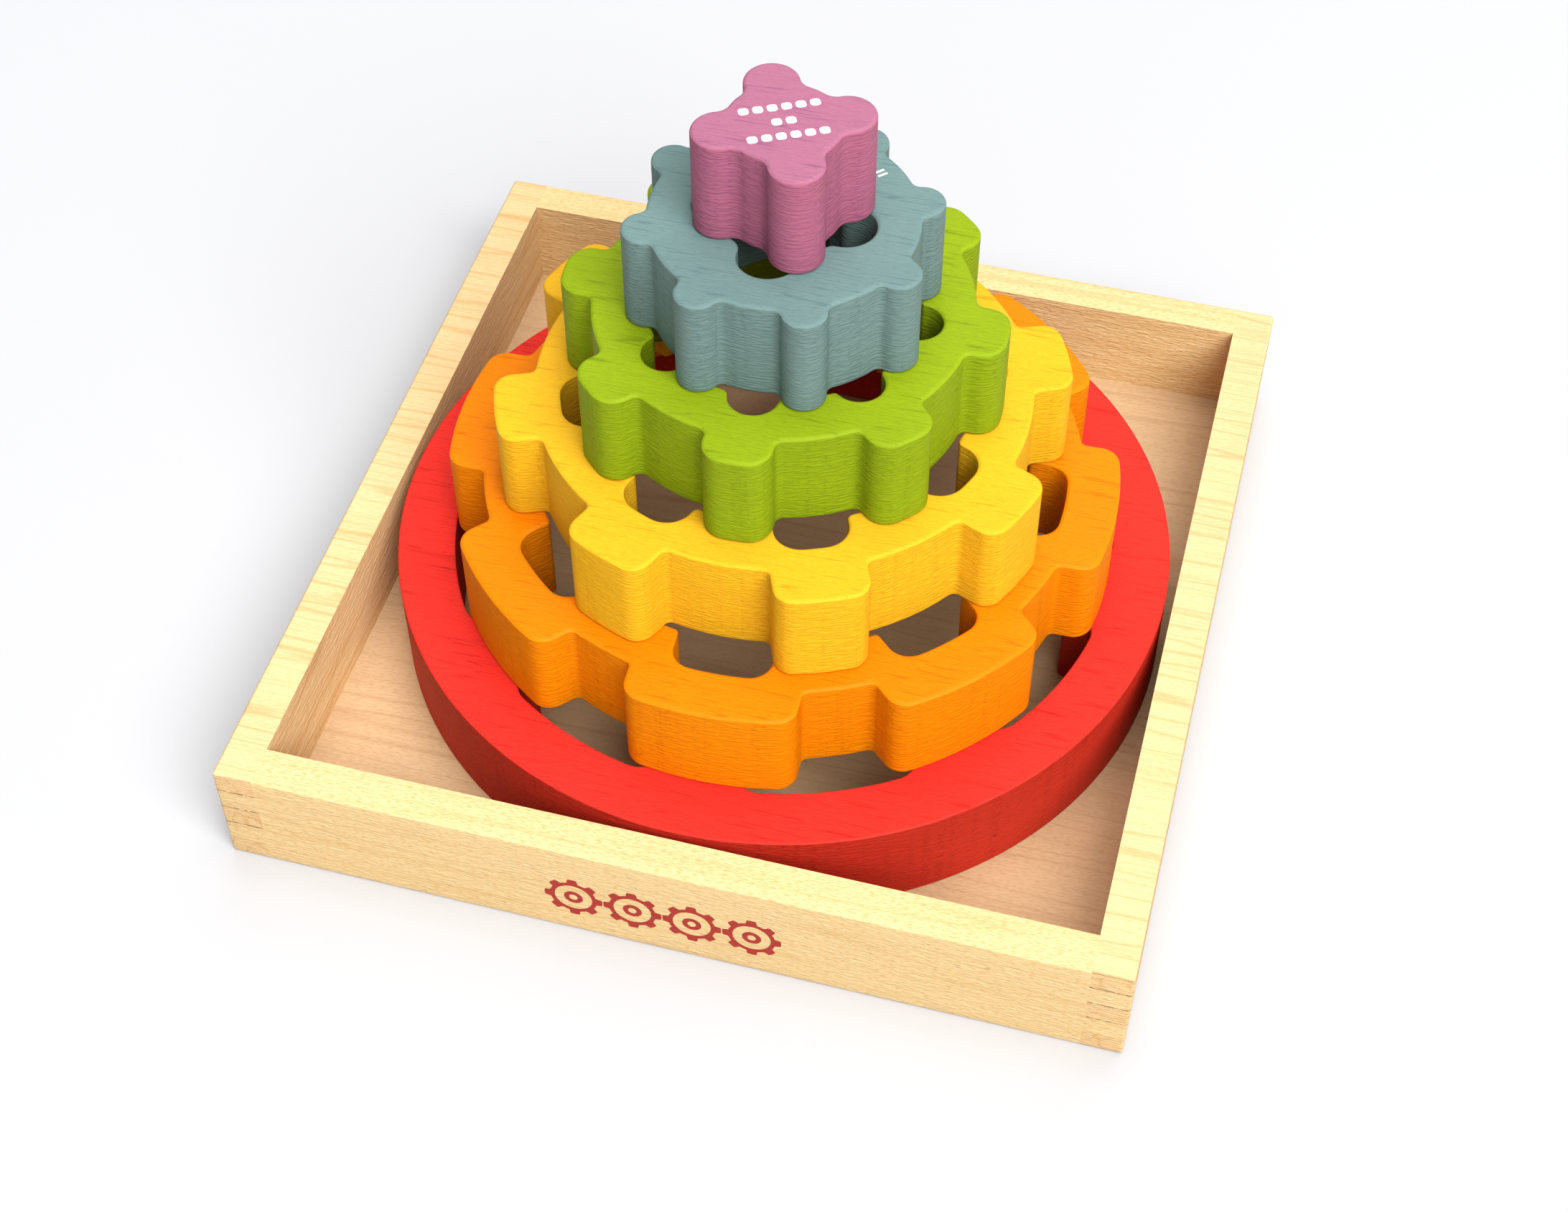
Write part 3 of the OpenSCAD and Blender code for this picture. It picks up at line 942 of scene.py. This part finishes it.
corners = [(-FLOOR_REACH, -FLOOR_REACH), (FLOOR_REACH, -FLOOR_REACH),
           (FLOOR_REACH, FLOOR_REACH), (-FLOOR_REACH, FLOOR_REACH)]
floor_mesh = bpy.data.meshes.new("floor")
floor_mesh.from_pydata([(x, y, 0.0) for x, y in corners], [], [(0, 1, 2, 3)])
floor = bpy.data.objects.new("floor", floor_mesh)
bpy.context.scene.collection.objects.link(floor)
floor_finish, _, floor_shader, _, _ = blank_finish("white floor")
floor_shader.inputs["Base Color"].default_value = (0.472, 0.474, 0.487, 1.0)
floor_shader.inputs["Roughness"].default_value = 0.9
floor_mesh.materials.append(floor_finish)
floor.location.z = -FLOOR_DROP
print("floor is", 2 * FLOOR_REACH, "m wide")

# %% Lamps
LAMP_DISTANCE = 6.0
LAMP_AIM = Vector((0.0, 0.0, 50.0 * MM))
# Each lamp's azimuth and elevation in degrees, its width in metres, and its power in watts.
LAMPS = {
    "key lamp": (46, 47, 4.5, 570.0),
    "overhead lamp": (0, 88, 4.5, 215.0),
    "back lamp": (180, 55, 6.0, 170.0),
    "low front lamp": (8, 28, 5.0, 95.0),
}


def soft_lamp(name, azimuth, elevation, width, power):
    """A round lamp that looks at the toy from an azimuth and an elevation in degrees."""
    turn, rise = math.radians(azimuth), math.radians(elevation)
    towards = Vector((math.sin(turn) * math.cos(rise), -math.cos(turn) * math.cos(rise), math.sin(rise)))
    lamp = bpy.data.objects.new(name, bpy.data.lights.new(name, "AREA"))
    bpy.context.scene.collection.objects.link(lamp)
    lamp.data.shape = "DISK"
    lamp.data.size = width
    lamp.data.energy = power
    lamp.rotation_mode = "QUATERNION"
    lamp.location = LAMP_AIM + towards * LAMP_DISTANCE
    lamp.rotation_quaternion = (-towards).to_track_quat("-Z", "Y")


for lamp_name, settings in LAMPS.items():
    soft_lamp(lamp_name, *settings)
print("lamps:", ", ".join(LAMPS))

# %% Sky
SKY_LIGHT = 0.12
SKY_SEEN = 0.85

world = bpy.data.worlds.new("white sky")
bpy.context.scene.world = world
world.use_nodes = True
sky = world.node_tree.nodes["Background"]
sky.inputs["Color"].default_value = (1.0, 1.0, 1.0, 1.0)
seen = add(world.node_tree, "ShaderNodeLightPath").outputs["Is Camera Ray"]
strength = maths(world.node_tree, "MULTIPLY_ADD", seen, SKY_SEEN - SKY_LIGHT, SKY_LIGHT)
plug(world.node_tree, sky.inputs["Strength"], strength)
bpy.context.scene.view_settings.view_transform = "Standard"
print("the sky lights with", SKY_LIGHT, "and is seen with", SKY_SEEN)
